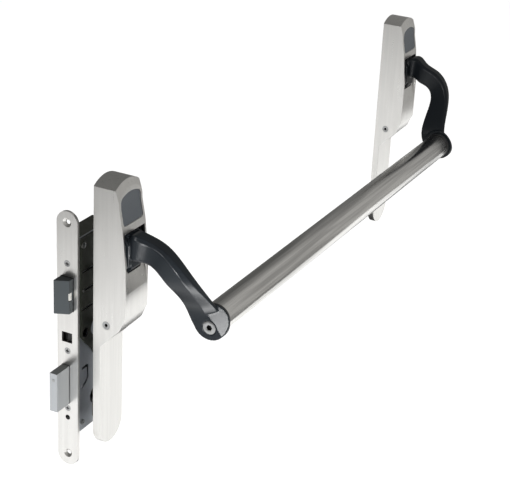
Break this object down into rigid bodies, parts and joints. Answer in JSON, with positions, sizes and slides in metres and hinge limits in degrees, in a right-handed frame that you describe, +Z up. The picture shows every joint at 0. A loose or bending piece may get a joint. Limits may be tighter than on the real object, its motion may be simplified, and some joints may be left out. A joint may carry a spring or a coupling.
{
  "type": "panic bar",
  "caption": "Push-bar door exit device: round bar on two cranked arms pivoting in slim housings, with the mortise lock whose latch and deadbolt it draws.",
  "frame": {"origin": "spindle axis of the lock-side housing, on the door face that both housings stand on", "axes": "+X from the lock side to the hinge side along the bar, +Y into the door, +Z up"},
  "size_m": [0.697, 0.1392, 0.2875],
  "materials": {
    "satin_stainless": "fine vertical brush, satin",
    "black_casting": "semi-gloss black powder coat over a casting",
    "grey_panel": "dark grey moulding, bare",
    "zinc_steel": "bright zinc plate on pressed steel",
    "dark_plate": "dark phosphated sheet",
    "latch_steel": "dark nickel",
    "bolt_steel": "nickel plate",
    "screw_steel": "stainless screw",
    "spring_wire": "oiled spring wire",
    "bronze": "sintered bronze",
    "white_nylon": "white nylon",
    "black_plastic": "black acetal"
  },
  "bodies": {
    "frame": {"lock_side_cover": "satin_stainless", "hinge_side_cover": "satin_stainless", "lock_side_panel": "grey_panel", "hinge_side_panel": "grey_panel", "lock_side_cover_screws": "screw_steel", "hinge_side_cover_screws": "screw_steel", "lock_side_chassis": "zinc_steel", "hinge_side_chassis": "zinc_steel", "lock_side_pivot_pin": "screw_steel", "hinge_side_pivot_pin": "screw_steel", "lock_side_return_spring": "spring_wire", "hinge_side_return_spring": "spring_wire", "spindle_bush": "bronze", "through_bolts": "screw_steel", "forend": "satin_stainless", "forend_fixing_screws": "screw_steel", "lock_case": "dark_plate", "case_plate": "zinc_steel", "upper_case_plate": "dark_plate", "upper_plate_rivet": "screw_steel", "case_posts": "zinc_steel", "case_screws": "screw_steel", "trigger_guide": "zinc_steel", "lever_pivot_pin": "screw_steel"},
    "push_bar": {"lock_side_arm": "black_casting", "hinge_side_arm": "black_casting", "lock_side_pivot_bush": "bronze", "hinge_side_pivot_bush": "bronze", "arm_screws": "screw_steel", "lock_side_bar_collar": "black_plastic", "hinge_side_bar_collar": "black_plastic", "bar_plugs": "zinc_steel", "bar_tube": "satin_stainless"},
    "drive_slider": {"lock_side_drive_slider": "zinc_steel"},
    "return_slider": {"hinge_side_return_slider": "zinc_steel"},
    "spindle_drive": {"spindle_lever": "zinc_steel", "drive_pin_stud": "screw_steel", "spindle": "zinc_steel", "follower": "bolt_steel", "follower_pin": "screw_steel"},
    "latch": {"latch_bolt": "latch_steel", "latch_roller_axle": "screw_steel", "latch_tail": "zinc_steel"},
    "roller": {"latch_roller": "white_nylon"},
    "deadbolt_slide": {"deadbolt": "bolt_steel", "deadbolt_pin": "screw_steel", "deadbolt_tail": "zinc_steel"},
    "draw_lever": {"deadbolt_lever": "zinc_steel"},
    "trigger": {"trigger_bolt": "black_plastic"}
  },
  "joints": [
    {"name": "push", "type": "hinge", "parent": "frame", "child": "push_bar", "pos_m": [0, -0.017, 0.085], "axis": [1, 0, 0], "range_deg": [0, 25], "stiffness_Nm_per_rad": 2.5, "springref_deg": -34.38},
    {"name": "drive_lift", "type": "slide", "parent": "frame", "child": "drive_slider", "axis": [0, 0, 1], "range_m": [0, 0.005], "deforming": ["lock_side_return_spring"]},
    {"name": "return_lift", "type": "slide", "parent": "frame", "child": "return_slider", "axis": [0, 0, 1], "range_m": [0, 0.005], "deforming": ["hinge_side_return_spring"]},
    {"name": "spindle_turn", "type": "hinge", "parent": "frame", "child": "spindle_drive", "pos_m": [0, 0, 0], "axis": [0, 1, 0], "range_deg": [0, 28.2]},
    {"name": "latch_throw", "type": "slide", "parent": "frame", "child": "latch", "axis": [1, 0, 0], "range_m": [0, 0.0121]},
    {"name": "roller_spin", "type": "hinge", "parent": "latch", "child": "roller", "pos_m": [-0.0342, 0.0159, 0.0415], "axis": [0, 0, 1], "continuous": true},
    {"name": "deadbolt_throw", "type": "slide", "parent": "frame", "child": "deadbolt_slide", "axis": [1, 0, 0], "range_m": [0, 0.0201]},
    {"name": "lever_draw", "type": "hinge", "parent": "frame", "child": "draw_lever", "pos_m": [0, 0.014, -0.023], "axis": [0, 1, 0], "range_deg": [-36.8, 0]},
    {"name": "trigger_press", "type": "slide", "parent": "frame", "child": "trigger", "axis": [1, 0, 0], "range_m": [0, 0.0035], "stiffness_N_per_m": 200, "springref_m": -0.004}
  ],
  "couplings": [
    {"joint": "drive_lift", "follows": "push", "m_per_rad": 0.0111},
    {"joint": "return_lift", "follows": "push", "m_per_rad": 0.0111},
    {"joint": "spindle_turn", "follows": "push", "ratio": 1.1224},
    {"joint": "latch_throw", "follows": "push", "m_per_rad": 0.027502},
    {"joint": "deadbolt_throw", "follows": "push", "m_per_rad": 0.045837},
    {"joint": "lever_draw", "follows": "push", "ratio": -1.4616}
  ]
}
